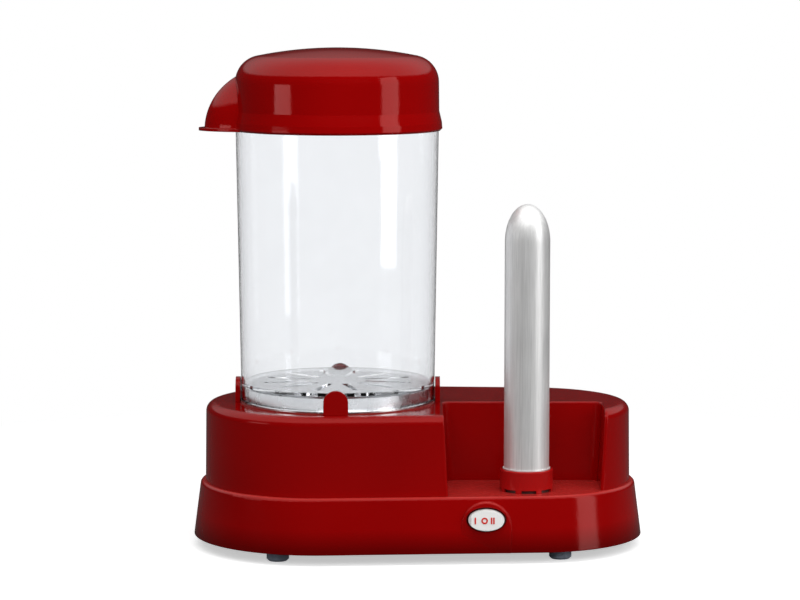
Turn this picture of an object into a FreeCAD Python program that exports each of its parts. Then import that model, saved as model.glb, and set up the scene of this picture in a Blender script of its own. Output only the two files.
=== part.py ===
"""Hot dog toaster: a steamer for sausages with a heated spike for the bun, beside it on one base.

The frame: X runs to the right, the front looks along -Y, Z is up, in millimetres. The origin is the
centre of the base's footprint, on the surface that the feet stand on.
"""
import FreeCAD
import Part
import Sketcher
import math
import os

# Every driving dimension, in millimetres or degrees: its name, its value and what it measures.
DIMENSIONS = [
    ("base_width", 270.0, "width of the base over its skirt"),
    ("left_radius", 75.5, "radius of the footprint's large left end"),
    ("right_radius", 67.0, "radius of the footprint's small right end"),
    ("foot_height", 7.5, "height of the feet"),
    ("skirt_drop", 0.5, "how far the skirt hangs below the bottom cover"),
    ("ledge_height", 39.5, "height of the ledge and of the bay's floor"),
    ("skirt_draft", 7.5, "lean of the skirt's wall, degrees"),
    ("ledge_width", 2.8, "width of the ledge between skirt and upper body"),
    ("ledge_round", 2.2, "rounding of the ledge's outer edge"),
    ("top_height", 86.8, "height of the upper body's top"),
    ("upper_draft", 0.8, "lean of the upper body's wall, degrees"),
    ("top_round", 5.5, "rounding of the upper body's top edge"),
    ("wall", 2.5, "wall of the plinth and the housing"),
    ("shelf", 9.0, "width of the plinth's shelf under the housing's wall"),
    ("bay_start", 65.6, "bay's left wall, from the container's axis"),
    ("bay_reach", 39.5, "bay's right wall, outwards from the middle of the right end"),
    ("bay_back", -8.5, "bay's back wall"),
    ("bay_draft", 3.0, "lean of the bay's walls, degrees"),
    ("bay_round", 5.0, "rounding of the bay's inner corners"),
    ("edge_round", 1.2, "rounding of the bay's and arch's edges"),
    ("pot_inset", 11.5, "container's axis, inwards from the middle of the left end"),
    ("pot_bottom_radius", 58.0, "container's outer radius at its foot"),
    ("pot_top_radius", 60.6, "container's outer radius at its rim"),
    ("pot_wall", 2.2, "container's wall"),
    ("pot_height", 167.7, "container's height"),
    ("pot_floor_rise", 9.0, "container's floor above its foot"),
    ("pot_floor", 2.0, "thickness of the container's floor"),
    ("slot_count", 12, "steam slots in the container's floor"),
    ("slot_width", 3.4, "width of a steam slot"),
    ("slot_inner", 17.0, "inner end of a steam slot, from the axis"),
    ("slot_outer", 45.0, "outer end of a steam slot, from the axis"),
    ("dish_sheet", 0.8, "thickness of the dish's flange"),
    ("dish_wall", 1.2, "wall of the water dish"),
    ("dish_radius", 54.8, "outer radius of the dish's wall"),
    ("dish_rise", 7.4, "height of the dish's rim above its flange"),
    ("dish_depth", 10.3, "depth of the dish, flange top to floor underside"),
    ("dish_flange_radius", 58.4, "outer radius of the dish's flange"),
    ("dish_gap", 0.8, "clearance between the dish's wall and the housing"),
    ("gasket_height", 2.2, "thickness of the dish's gasket"),
    ("gasket_recess", 1.5, "depth of the gasket's seat in the housing"),
    ("tab_count", 4, "locating tabs round the container"),
    ("tab_height", 14.5, "height of a tab above the top"),
    ("tab_width", 14.5, "width of a tab"),
    ("tab_thick", 2.8, "thickness of a tab"),
    ("tab_gap", 0.6, "clearance between tabs and container"),
    ("lid_overlap", 6.4, "how far the lid reaches down over the container"),
    ("lid_gap", 0.3, "clearance between lid and container"),
    ("lid_side_radius", 61.0, "outer radius of the lid's side at its foot"),
    ("lid_shoulder_radius", 60.4, "outer radius of the lid's side at its shoulder"),
    ("lid_height", 49.1, "height of the lid"),
    ("lid_dome_radius", 240.0, "radius of the lid's domed crown"),
    ("lid_round", 16.0, "rounding of the lid's shoulder"),
    ("lid_wall", 2.0, "wall of the lid"),
    ("band_radius", 62.7, "outer radius of the band round the lid's foot"),
    ("band_height", 5.0, "height of that band"),
    ("band_fade", 8.4, "height over which the band runs out into the side"),
    ("band_round", 1.2, "bevel of the band's lower edge"),
    ("beak_centre", 38.2, "middle of the steam beak's curve, from the lid's axis"),
    ("beak_long", 41.0, "beak's half length from that middle"),
    ("beak_wide", 24.0, "beak's half width"),
    ("beak_tall", 38.0, "beak's height"),
    ("beak_wall", 1.7, "wall of the beak"),
    ("beak_lip", 3.4, "width of the flat lip round the beak"),
    ("beak_lip_thick", 1.7, "thickness of that lip"),
    ("spike_inset", 4.0, "spike's axis, inwards from the middle of the right end"),
    ("spike_y", -40.0, "spike's axis, towards the front"),
    ("spike_radius", 13.3, "outer radius of the spike"),
    ("spike_wall", 1.5, "wall of the spike's tube"),
    ("spike_height", 156.0, "height of the spike above its collar"),
    ("spike_step", 0.7, "how much wider the spike's foot is inside its collar"),
    ("spike_step_rise", 0.5, "height of that foot's end above the collar"),
    ("spike_nose", 22.0, "length of the spike's rounded nose"),
    ("spike_flange_radius", 17.5, "radius of the flange at the spike's foot"),
    ("spike_flange", 1.4, "thickness of that flange"),
    ("seal_thick", 0.8, "thickness of the seal over that flange"),
    ("collar_radius", 15.8, "outer radius of the spike's collar"),
    ("collar_height", 13.0, "height of the collar"),
    ("collar_gap", 0.25, "clearance between collar and spike"),
    ("collar_edge", 0.6, "bevel of the collar's top edge"),
    ("vent_count", 8, "air notches at the collar's foot"),
    ("vent_height", 1.8, "height of an air notch"),
    ("vent_width", 8.6, "width of an air notch"),
    ("heater_radius", 5.5, "radius of the spike's heating cartridge"),
    ("heater_length", 118.0, "length of the cartridge"),
    ("heater_base_radius", 11.3, "radius of the cartridge's foot"),
    ("heater_base", 2.0, "thickness of that foot"),
    ("retainer_radius", 19.0, "radius of the plate that holds the spike"),
    ("retainer_thick", 1.2, "thickness of that plate"),
    ("retainer_hole", 4.0, "radius of the hole for the cartridge's leads"),
    ("ear_side", 23.5, "the plate's ears, to each side of the spike's axis"),
    ("ear_back", 20.0, "the plate's ears, behind the spike's axis"),
    ("ear_radius", 5.0, "radius of an ear round its screw"),
    ("ear_depth", 3.2, "depth of the retainer's screws in the housing"),
    ("arch_inset", 24.4, "middle of the switch's arch, to the left of the spike's axis"),
    ("arch_width", 29.6, "width of the arch"),
    ("arch_top", 37.0, "height of the arch's top"),
    ("panel_inset", 0.4, "flat panels' faces, behind the footprint's side"),
    ("panel_sink", 9.0, "how deep the panels' arched bosses reach into the skirt"),
    ("rocker_width", 21.0, "width of the oval rocker"),
    ("rocker_tall", 12.2, "height of the oval rocker"),
    ("rocker_z", 26.8, "height of the rocker's centre"),
    ("rocker_proud", 3.0, "how far the rocker stands out of the panel"),
    ("rocker_gap", 1.2, "gap round the rocker"),
    ("rocker_sweep", 12.3, "radius of the rocker's cap about its pin"),
    ("rocker_stem_wide", 12.0, "width of the rocker's stem"),
    ("rocker_stem_tall", 8.4, "height of the rocker's stem"),
    ("rocker_tail", 4.0, "how far the stem reaches in behind its pin"),
    ("pin_back", 3.0, "rocker's pin behind the panel's inner face"),
    ("pin_radius", 1.2, "radius of the rocker's pin"),
    ("pin_length", 12.4, "length of the rocker's pin"),
    ("pin_gap", 0.05, "running clearance of the rocker on its pin"),
    ("switch_width", 26.4, "width of the switch's body"),
    ("switch_gap", 0.3, "clearance round that body in the panel's boss"),
    ("arch_wall", 1.5, "from the arch's outside in to the switch's body"),
    ("switch_tall", 13.4, "height of the switch's body"),
    ("switch_depth", 17.0, "depth of the switch's body"),
    ("swing_room", 2.5, "room for the rocker's cap behind the panel"),
    ("web_wide", 9.0, "width of the web that carries the rocker's pin"),
    ("web_back", 1.0, "distance of that web behind the panel's inner face"),
    ("stem_room", 0.5, "room above and below the rocker's stem"),
    ("stem_swing", 2.2, "room to the sides of and behind the stem"),
    ("blade_wide", 4.8, "width of a switch terminal"),
    ("blade_thick", 0.8, "thickness of a switch terminal"),
    ("blade_long", 7.0, "length of a switch terminal"),
    ("blade_pitch", 8.0, "distance from one switch terminal to the next"),
    ("mark_proud", 0.25, "thickness of the printed marks"),
    ("mark_tall", 3.8, "height of the marks"),
    ("mark_stroke", 0.85, "stroke width of the marks"),
    ("mark_one", 6.5, "first position's bar, to the left of the rocker's middle"),
    ("mark_off", 1.1, "off position's ring, to the left of the rocker's middle"),
    ("mark_two", 3.6, "second position's bars, to the right of the rocker's middle"),
    ("cover_thick", 2.5, "thickness of the bottom cover"),
    ("cover_gap", 0.3, "gap round the bottom cover"),
    ("vent_slots", 6, "cooling slots in the bottom cover"),
    ("vent_slot_long", 34.0, "length of a cooling slot"),
    ("vent_slot_wide", 3.0, "width of a cooling slot"),
    ("vent_slot_pitch", 8.0, "distance from one cooling slot to the next"),
    ("foot_radius", 6.6, "radius of a foot"),
    ("foot_inset", 17.0, "feet, inwards from the footprint's round ends"),
    ("foot_turn_left", 67.0, "left feet, angle from the long axis, degrees"),
    ("foot_turn_right", 71.5, "right feet, angle from the long axis, degrees"),
    ("foot_round", 1.2, "rounding of a foot's lower edge"),
    ("stem_radius", 2.5, "radius of a foot's stem"),
    ("barb_radius", 3.3, "radius of the barb on a foot's stem"),
    ("barb_height", 2.6, "height of that barb"),
    ("boss_radius", 4.0, "radius of a screw boss"),
    ("boss_inset", 8.0, "screw bosses, inwards from the footprint"),
    ("boss_turn", 40.0, "screw bosses, angle from the long axis, degrees"),
    ("boss_height", 22.0, "height of the cover's screw bosses"),
    ("joint_turn_left", 20.0, "housing's left screws, angle from the long axis, degrees"),
    ("joint_turn_right", 50.0, "housing's right screw, angle from the long axis, degrees"),
    ("screw_radius", 1.6, "radius of a screw's shank"),
    ("screw_head", 3.2, "radius of a screw's head"),
    ("head_thick", 1.9, "height of a screw's head"),
    ("screw_gap", 0.25, "clearance of a screw in a plain hole"),
    ("screw_length", 14.0, "length of a screw's shank"),
    ("bracket_count", 3, "arms of the dish's bracket"),
    ("bracket_reach", 62.0, "bracket's screws, from the container's axis"),
    ("bracket_inner", 26.0, "inner radius of the bracket's ring"),
    ("bracket_outer", 42.0, "outer radius of the bracket's ring"),
    ("bracket_arm", 12.0, "width of a bracket's arm"),
    ("bracket_thick", 1.5, "thickness of the bracket"),
    ("element_radius", 34.0, "radius of the ring heater"),
    ("element_tube", 3.6, "radius of the ring heater's tube"),
    ("element_sweep", 310.0, "sweep of the ring heater, degrees"),
    ("element_bend", 6.0, "radius of the bends at the ring heater's ends"),
    ("terminal_drop", 22.0, "how far the heater's ends reach down"),
    ("terminal_gap", 2.3, "gap round the heater's ends"),
    ("thermostat_radius", 9.0, "radius of the thermostat"),
    ("thermostat_tall", 6.5, "height of the thermostat"),
    ("shield_radius", 51.0, "radius of the heat shield"),
    ("shield_sheet", 0.8, "sheet of the heat shield"),
    ("shield_lip", 10.0, "height of the shield's lip"),
    ("fuse_radius", 2.4, "radius of the thermal fuse"),
    ("fuse_length", 12.0, "length of the thermal fuse"),
    ("fuse_lead", 0.6, "radius of the fuse's wires"),
    ("block_inset", 22.0, "terminal block, to the left of the spike's axis"),
    ("block_y", 28.0, "terminal block, towards the back"),
    ("block_width", 30.0, "width of the terminal block"),
    ("block_deep", 15.0, "depth of the terminal block"),
    ("block_tall", 12.0, "height of the terminal block"),
    ("block_pitch", 9.0, "distance from one terminal to the next"),
    ("block_bore", 1.7, "radius of a terminal's bore"),
    ("gland_z", 24.0, "height of the cord's outlet"),
    ("cord_radius", 3.5, "bore of the gland, for a mains lead"),
    ("gland_radius", 5.5, "radius of the gland in the wall"),
    ("gland_collar", 8.0, "radius of the gland's collars"),
    ("gland_collar_thick", 2.0, "thickness of a collar"),
    ("gland_lip", 3.0, "length of the gland's outer lip"),
    ("lead_radius", 1.1, "radius of an inner lead"),
    ("seat_gap", 0.05, "working gap between curved faces that touch"),
]

os.makedirs("parts", exist_ok=True)
doc = FreeCAD.newDocument("hot_dog_toaster")
sheet = doc.addObject("Spreadsheet::Sheet", "sheet")
for row, (alias, value, meaning) in enumerate(DIMENSIONS, start=1):
    sheet.set(f"A{row}", meaning)
    sheet.set(f"B{row}", str(value))
    sheet.setAlias(f"B{row}", alias)
doc.recompute()


class Size:
    """A length or angle that knows its value and the expression that binds it to the sheet."""

    def __init__(self, value, text):
        self.value = float(value)
        self.text = text

    def __add__(self, other):
        other = size(other)
        return Size(self.value + other.value, f"({self.text} + {other.text})")

    def __radd__(self, other):
        return size(other) + self

    def __sub__(self, other):
        other = size(other)
        return Size(self.value - other.value, f"({self.text} - {other.text})")

    def __rsub__(self, other):
        return size(other) - self

    def __mul__(self, other):
        other = size(other)
        return Size(self.value * other.value, f"({self.text} * {other.text})")

    def __rmul__(self, other):
        return size(other) * self

    def __truediv__(self, other):
        other = size(other)
        return Size(self.value / other.value, f"({self.text} / {other.text})")

    def __neg__(self):
        return Size(-self.value, f"(-{self.text})")


def size(value):
    """A plain number as a Size; a Size as it is."""
    return value if isinstance(value, Size) else Size(value, f"{float(value):.6f}")


class Dimensions:
    """The sheet's cells as Sizes, by name."""

    def __getattr__(self, name):
        return Size(float(sheet.get(name)), f"sheet.{name}")


d = Dimensions()
X_AXIS = FreeCAD.Vector(1, 0, 0)
Y_AXIS = FreeCAD.Vector(0, 1, 0)
Z_AXIS = FreeCAD.Vector(0, 0, 1)
SMALL = 1e-6
PAST = 30.0  # how far a cutting solid runs past the face that it opens


def bind(item, **sizes):
    """Sets properties of an object to expressions of the sheet."""
    for name, value in sizes.items():
        item.setExpression(name, size(value).text)


def place(item, x=0, y=0, z=0, axis=None, angle=0):
    """Places an object, its position bound to the sheet and its turn fixed."""
    if axis is not None:
        item.Placement.Rotation = FreeCAD.Rotation(axis, angle)
    for letter, value in zip("xyz", (x, y, z)):
        item.setExpression(f"Placement.Base.{letter}", size(value).text)


def vec(x, y, z):
    """A vector of the values of three sizes."""
    return FreeCAD.Vector(size(x).value, size(y).value, size(z).value)


def box(name, x0, x1, y0, y1, z0, z1):
    """A box between two corners."""
    item = doc.addObject("Part::Box", name)
    bind(item, Length=size(x1) - x0, Width=size(y1) - y0, Height=size(z1) - z0)
    place(item, x0, y0, z0)
    return item


def cylinder(name, radius, height, x=0, y=0, z=0, axis=None, angle=0):
    """A cylinder that stands on a point, up Z unless it is turned."""
    item = doc.addObject("Part::Cylinder", name)
    bind(item, Radius=radius, Height=height)
    place(item, x, y, z, axis, angle)
    return item


def fuse(name, *items):
    """One solid made of several that meet."""
    item = doc.addObject("Part::MultiFuse", name)
    item.Shapes = list(items)
    return item


def cut(name, base, *tools):
    """A solid with others cut from it."""
    tool = tools[0] if len(tools) == 1 else group(name + "_tools", *tools)
    item = doc.addObject("Part::Cut", name)
    item.Base = base
    item.Tool = tool
    return item


def common(name, first, second):
    """What two solids share."""
    item = doc.addObject("Part::MultiCommon", name)
    item.Shapes = [first, second]
    return item


def group(name, *items):
    """Several separate solids as one object."""
    item = doc.addObject("Part::Compound", name)
    item.Links = list(items)
    return item


def rounded(name, base, radius, chosen):
    """A solid with the edges that chosen(edge) picks rounded."""
    doc.recompute()
    item = doc.addObject("Part::Fillet", name)
    item.Base = base
    edges = enumerate(base.Shape.Edges, start=1)
    item.Edges = [(n, radius.value, radius.value) for n, edge in edges if chosen(edge)]
    return item


def edge_z(edge):
    """Lowest and highest point of an edge."""
    bounds = edge.BoundBox
    return bounds.ZMin, bounds.ZMax


def level(z, tolerance=0.02):
    """Picks the edges that lie at one height."""
    z = size(z).value

    def chosen(edge):
        low, high = edge_z(edge)
        return abs(low - z) < tolerance and abs(high - z) < tolerance

    return chosen


def new_sketch(body, name, plane, offset=0):
    """A sketch on one of a body's origin planes, moved along the plane's normal."""
    sketch = body.newObject("Sketcher::SketchObject", name)
    found = [f for f in body.Origin.OriginFeatures if f.Role == plane]
    sketch.AttachmentSupport = [(found[0], "")]
    sketch.MapMode = "FlatFace"
    sketch.setExpression("AttachmentOffset.Base.z", size(offset).text)
    return sketch


def pin_point(sketch, geometry, end, x, y):
    """Holds one end of a sketch line at a place given by two sizes."""
    for kind, line, value in (("DistanceX", -2, size(x)), ("DistanceY", -1, size(y))):
        if abs(value.value) < SMALL:
            sketch.addConstraint(Sketcher.Constraint("PointOnObject", geometry, end, line))
            continue
        n = sketch.addConstraint(Sketcher.Constraint(kind, -1, 1, geometry, end, value.value))
        sketch.setExpression(f"Constraints[{n}]", value.text)


def outline(sketch, points):
    """A closed outline of straight lines through points given as pairs of sizes."""
    corners = [vec(x, y, 0) for x, y in points]
    count = len(corners)
    for n in range(count):
        sketch.addGeometry(Part.LineSegment(corners[n], corners[(n + 1) % count]), False)
    for n in range(count):
        sketch.addConstraint(Sketcher.Constraint("Coincident", n, 2, (n + 1) % count, 1))
    for n, (x, y) in enumerate(points):
        pin_point(sketch, n, 1, x, y)


def revolved(label, profile, x=0, y=0, z=0):
    """A body turned from an outline of (radius, height) points about an upright axis."""
    body = doc.addObject("PartDesign::Body", label)
    sketch = new_sketch(body, label + "_profile", "XZ_Plane")
    outline(sketch, profile)
    turn = body.newObject("PartDesign::Revolution", label + "_turn")
    turn.Profile = sketch
    turn.ReferenceAxis = (sketch, ["V_Axis"])
    turn.Angle = 360
    place(body, x, y, z)
    return body


def tapered_oval(name, inset, z):
    """The base's plan: a large left end and a small right end with tangents between them."""
    left, right = d.left_radius - inset, d.right_radius - inset
    left_x = d.left_radius - d.base_width / 2
    right_x = d.base_width / 2 - d.right_radius
    sketch = doc.addObject("Sketcher::SketchObject", name)
    lean = math.acos((left.value - right.value) / (right_x.value - left_x.value))
    big = Part.Circle(vec(left_x, 0, 0), Z_AXIS, left.value)
    little = Part.Circle(vec(right_x, 0, 0), Z_AXIS, right.value)
    arcs = [Part.ArcOfCircle(big, lean, 2 * math.pi - lean), Part.ArcOfCircle(little, -lean, lean)]
    front = Part.LineSegment(arcs[0].EndPoint, arcs[1].StartPoint)
    back = Part.LineSegment(arcs[1].EndPoint, arcs[0].StartPoint)
    for item in (arcs[0], front, arcs[1], back):
        sketch.addGeometry(item, False)
    for first in range(4):
        sketch.addConstraint(Sketcher.Constraint("Tangent", first, 2, (first + 1) % 4, 1))
    for arc, centre_x, radius in ((0, left_x, left), (2, right_x, right)):
        pin_point(sketch, arc, 3, centre_x, 0)
        n = sketch.addConstraint(Sketcher.Constraint("Radius", arc, radius.value))
        sketch.setExpression(f"Constraints[{n}]", radius.text)
    place(sketch, 0, 0, z)
    return sketch


def raised(name, sketch, height, draft=0):
    """A solid drawn up from a sketch, its walls leaning inwards by draft degrees."""
    item = doc.addObject("Part::Extrusion", name)
    item.Base = sketch
    item.DirMode = "Custom"
    item.Dir = Z_AXIS
    item.Solid = True
    bind(item, LengthFwd=height, TaperAngle=-size(draft))
    return item


# Heights and places that several pieces share
left_centre = d.left_radius - d.base_width / 2
right_centre = d.base_width / 2 - d.right_radius
pot_x = left_centre + d.pot_inset
spike_x = right_centre - d.spike_inset
bay_left = pot_x + d.bay_start
bay_right = right_centre + d.bay_reach
arch_x = spike_x - d.arch_inset
block_x = spike_x - d.block_inset
gland_x = block_x
cover_bottom = d.foot_height
cover_top = d.foot_height + d.cover_thick
skirt_bottom = d.foot_height - d.skirt_drop
skirt_height = d.ledge_height - skirt_bottom
skirt_lean = math.tan(math.radians(d.skirt_draft.value))
upper_inset = skirt_height * skirt_lean + d.ledge_width
ceiling = d.top_height - d.wall
floor_under = d.ledge_height - d.wall
upper_height = d.top_height - floor_under
gasket_bottom = d.top_height - d.gasket_recess
flange_bottom = gasket_bottom + d.gasket_height
pot_foot = flange_bottom + d.dish_sheet
dish_under = pot_foot - d.dish_depth
hole_radius = d.dish_radius + d.dish_gap
pot_rim = pot_foot + d.pot_height
lid_foot = pot_rim - d.lid_overlap
element_z = dish_under - d.element_tube - d.seat_gap
bracket_top = element_z - d.element_tube - d.seat_gap
bracket_bottom = bracket_top - d.bracket_thick
shield_bottom = bracket_bottom - d.shield_lip
spike_foot = d.spike_radius + d.spike_step
spike_bore = spike_foot + d.collar_gap
collar_top = d.ledge_height + d.collar_height
seal_bottom = floor_under - d.seal_thick
flange_under = seal_bottom - d.spike_flange
retainer_bottom = flange_under - d.retainer_thick
ear_y = d.spike_y + d.ear_back
arch_part = (right_centre - arch_x) / (right_centre - left_centre)
side_y = d.right_radius + (d.left_radius - d.right_radius) * arch_part
panel_y = side_y - d.panel_inset
panel_front = -panel_y
panel_inner = panel_front + d.wall
pivot_y = panel_inner + d.pin_back
arch_half = d.arch_width / 2


def boss_places():
    """Where the bottom cover's screws are: two round each end."""
    ends = ((left_centre, d.left_radius, -1), (right_centre, d.right_radius, 1))
    turn = math.radians(d.boss_turn.value)
    places = []
    for centre, radius, side in ends:
        reach = radius - d.boss_inset
        for sign in (-1, 1):
            places.append((centre + reach * (side * math.cos(turn)), reach * (sign * math.sin(turn))))
    return places


def ear_places():
    """How far to the right the ears of the spike's retainer are."""
    return [spike_x - d.ear_side, spike_x + d.ear_side]


def bracket_angles():
    """The directions of the dish bracket's arms: one to the left, the others spaced evenly."""
    count = int(d.bracket_count.value)
    return [180 + n * 360 / count for n in range(count)]


def round_pot(radius, angle):
    """A place at an angle round the container's axis."""
    turn = math.radians(angle)
    return pot_x + radius * math.cos(turn), radius * math.sin(turn)


def bay_block(name, grow, bottom, top):
    """The bay's space, widened by grow: walls that lean outwards as they rise."""
    body = doc.addObject("PartDesign::Body", name)
    sketch = new_sketch(body, name + "_plan", "XY_Plane", bottom)
    left, right = bay_left - grow, bay_right + grow
    front, back = -d.left_radius - PAST, d.bay_back + grow
    outline(sketch, [(left, front), (right, front), (right, back), (left, back)])
    pad = body.newObject("PartDesign::Pad", name + "_pad")
    pad.Profile = sketch
    bind(pad, Length=size(top) - bottom, TaperAngle=d.bay_draft)
    doc.recompute()
    corners = [
        f"Edge{n}"
        for n, edge in enumerate(pad.Shape.Edges, start=1)
        if edge_z(edge)[1] - edge_z(edge)[0] > 1 and edge.BoundBox.YMin > -d.left_radius.value
    ]
    fillet = body.newObject("PartDesign::Fillet", name + "_corners")
    fillet.Base = (pad, corners)
    bind(fillet, Radius=d.bay_round + grow)
    return body


def arch_solid(name, x, grow, bottom, y0, y1):
    """The space in front of a flat panel: an arch on its side walls, from y0 to y1."""
    half = arch_half + grow
    spring = d.arch_top - arch_half
    legs = box(name + "_legs", x - half, x + half, y0, y1, bottom, spring)
    head = cylinder(name + "_head", half, size(y1) - y0, x, y0, spring, X_AXIS, -90)
    return fuse(name, legs, head)


def oval_bar(name, half_width, half_height, x, z, y0, y1):
    """A bar of oval section along Y."""
    section = doc.addObject("Part::Ellipse", name + "_oval")
    wide, tall = size(half_width), size(half_height)
    upright = tall.value > wide.value
    bind(section, MajorRadius=tall if upright else wide, MinorRadius=wide if upright else tall)
    section.Placement.Rotation = FreeCAD.Rotation(X_AXIS, 90)
    if upright:
        section.Placement.Rotation = section.Placement.Rotation * FreeCAD.Rotation(Z_AXIS, 90)
    place(section, x, y0, z)
    bar = doc.addObject("Part::Extrusion", name)
    bar.Base = section
    bar.DirMode = "Custom"
    bar.Dir = Y_AXIS
    bar.Solid = True
    bind(bar, LengthFwd=size(y1) - y0)
    return bar


def panel_bosses(name, grow, bottom, face):
    """The arched bosses whose faces are the switch's flat panel and, at the back, the cord's."""
    inside = face - d.panel_sink
    return [
        arch_solid("switch_" + name, arch_x, grow, bottom, -face, -inside),
        arch_solid("cord_" + name, gland_x, grow, bottom, inside, face),
    ]


def bay_rim(edge):
    """Picks the bay's edges against the top and the outer wall, but not its inner corners."""
    low, high = edge_z(edge)
    middle = edge.CenterOfMass
    beside = bay_left.value - d.bay_round.value < middle.x < bay_right.value + d.bay_round.value
    before = middle.y < d.bay_back.value + d.bay_round.value
    above = high > d.ledge_height.value + 1
    whole_height = high - low > upper_height.value - d.top_round.value / 2
    return beside and before and above and not whole_height


def panel_rim(edge):
    """Picks the outline of a panel's face, but not its lowest edge."""
    bounds = edge.BoundBox
    flat = bounds.YLength < 0.1 and abs(abs(bounds.YMin) - panel_y.value) < 0.1
    return flat and bounds.ZMax > skirt_bottom.value


def joint_places():
    """Where screws hold the housing to the plinth's shelf: two at the left, one at the back right."""
    inset = upper_inset + d.wall + d.boss_radius - 0.8
    left, right = d.left_radius - inset, d.right_radius - inset
    angle = math.radians(d.joint_turn_left.value)
    places = [(left_centre - left * math.cos(angle), left * (way * math.sin(angle))) for way in (-1, 1)]
    angle = math.radians(d.joint_turn_right.value)
    places.append((right_centre + right * math.cos(angle), right * math.sin(angle)))
    return places


def container_tabs():
    """The tabs on the housing's top that hold the container in place, round its foot."""
    inner = d.pot_bottom_radius + d.tab_gap
    half = d.tab_width / 2
    height = d.tab_height - half
    tabs = []
    for n in range(int(d.tab_count.value)):
        leg = box(f"tab_{n}_leg", inner, inner + d.tab_thick, -half, half, 0, height)
        head = cylinder(f"tab_{n}_head", half, d.tab_thick, inner, 0, height, Y_AXIS, 90)
        tab = fuse(f"tab_{n}", leg, head)
        place(tab, pot_x, 0, d.top_height, Z_AXIS, n * 360 / d.tab_count.value)
        tabs.append(tab)
    return group("tab_set", *tabs)


def base_plinth():
    """The red plinth: a leaning skirt under a deck, which is the ledge and the bay's floor."""
    skirt = raised("skirt", tapered_oval("skirt_plan", 0, skirt_bottom), skirt_height, d.skirt_draft)
    skirt = rounded("skirt_round", skirt, d.ledge_round, level(d.ledge_height))
    below = skirt_bottom - PAST
    bosses = fuse("arches", *panel_bosses("arch", 0, below, panel_y))
    bosses = rounded("arches_rounded", bosses, d.edge_round, panel_rim)
    left, right = -d.base_width / 2, d.base_width / 2
    under = box("arches_foot", left, right, -d.left_radius, d.left_radius, below - 1, skirt_bottom)
    whole = fuse("plinth_whole", skirt, cut("arches_trimmed", bosses, under))

    plan = tapered_oval("low_plan", d.wall, skirt_bottom)
    low = raised("low_space", plan, floor_under - skirt_bottom, d.skirt_draft)
    low = fuse("plinth_cavity", low, *panel_bosses("hollow", -d.wall, skirt_bottom, panel_y - d.wall))
    opening = tapered_oval("deck_plan", upper_inset + d.wall + d.shelf, floor_under - 1)
    opening = raised("deck_space", opening, d.wall * 3)
    opening = cut("deck_opening", opening, bay_block("deck_kept", d.wall, floor_under - 2, d.top_height))
    shell = cut("plinth_shell", whole, low, opening)

    bosses = []
    holes = []
    pilot = d.screw_radius + d.seat_gap
    plain = d.screw_radius + d.screw_gap
    for n, (x, y) in enumerate(boss_places()):
        bosses.append(cylinder(f"cover_boss_{n}", d.boss_radius, d.boss_height, x, y, cover_top))
        holes.append(cylinder(f"cover_pilot_{n}", pilot, d.screw_length, x, y, cover_bottom))
    reach = floor_under - flange_under + d.wall / 2
    for n, x in enumerate(ear_places()):
        bosses.append(cylinder(f"ear_boss_{n}", d.boss_radius, reach, x, ear_y, flange_under))
        holes.append(cylinder(f"ear_pilot_{n}", pilot, d.ear_depth, x, ear_y, flange_under))
    for n, (x, y) in enumerate(joint_places()):
        holes.append(cylinder(f"joint_hole_{n}", plain, d.wall * 2, x, y, floor_under - 1))
    holes.append(cylinder("spike_hole", spike_bore, d.wall * 2, spike_x, d.spike_y, floor_under - 1))
    wide = d.rocker_width / 2 + d.rocker_gap
    tall = d.rocker_tall / 2 + d.rocker_gap
    front, inner = panel_front - 1, panel_inner + 1
    holes.append(oval_bar("rocker_hole", wide, tall, arch_x, d.rocker_z, front, inner))
    holes.append(switch_block("switch_room", d.switch_gap))
    gland = d.gland_radius + d.seat_gap
    back = -panel_inner - 1
    holes.append(cylinder("cord_hole", gland, d.wall + 2, gland_x, back, d.gland_z, X_AXIS, -90))
    return cut("plinth", fuse("plinth_bossed", shell, *bosses), *holes)


def base_housing():
    """The red upper housing on the plinth: a drum under the container and walls round the bay."""
    plan = tapered_oval("upper_plan", upper_inset, floor_under)
    upper = raised("upper", plan, upper_height, d.upper_draft)
    upper = rounded("upper_round", upper, d.top_round, level(d.top_height))
    carved = cut("upper_carved", upper, bay_block("bay_space", 0, floor_under - 1, d.top_height + PAST))
    carved = rounded("bay_rounded", carved, d.edge_round, bay_rim)
    plan = tapered_oval("high_plan", upper_inset + d.wall, floor_under)
    high = raised("high_space", plan, ceiling - floor_under, d.upper_draft)
    high = cut("drum_cavity", high, bay_block("bay_wall", d.wall, floor_under - 1, d.top_height + PAST))
    far = d.base_width
    under = box("under_ledge", -far, far, -far, far, 0, d.ledge_height)

    bosses = []
    holes = []
    pilot = d.screw_radius + d.seat_gap
    for n, angle in enumerate(bracket_angles()):
        x, y = round_pot(d.bracket_reach, angle)
        reach = ceiling - bracket_top + d.wall / 2
        bosses.append(cylinder(f"bracket_boss_{n}", d.boss_radius, reach, x, y, bracket_top))
        holes.append(cylinder(f"bracket_pilot_{n}", pilot, d.screw_length, x, y, bracket_bottom))
    for n, (x, y) in enumerate(joint_places()):
        bosses.append(cylinder(f"joint_boss_{n}", d.boss_radius, d.boss_height, x, y, d.ledge_height))
        holes.append(cylinder(f"joint_pilot_{n}", pilot, d.screw_length, x, y, floor_under))
    holes.append(cylinder("dish_hole", hole_radius, PAST, pot_x, 0, ceiling - 1))
    seat = d.dish_flange_radius + d.seat_gap
    holes.append(cylinder("gasket_seat", seat, PAST, pot_x, 0, gasket_bottom))
    whole = fuse("housing_whole", cut("housing_shell", carved, high), *bosses)
    return cut("housing", whole, under, *holes)


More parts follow.
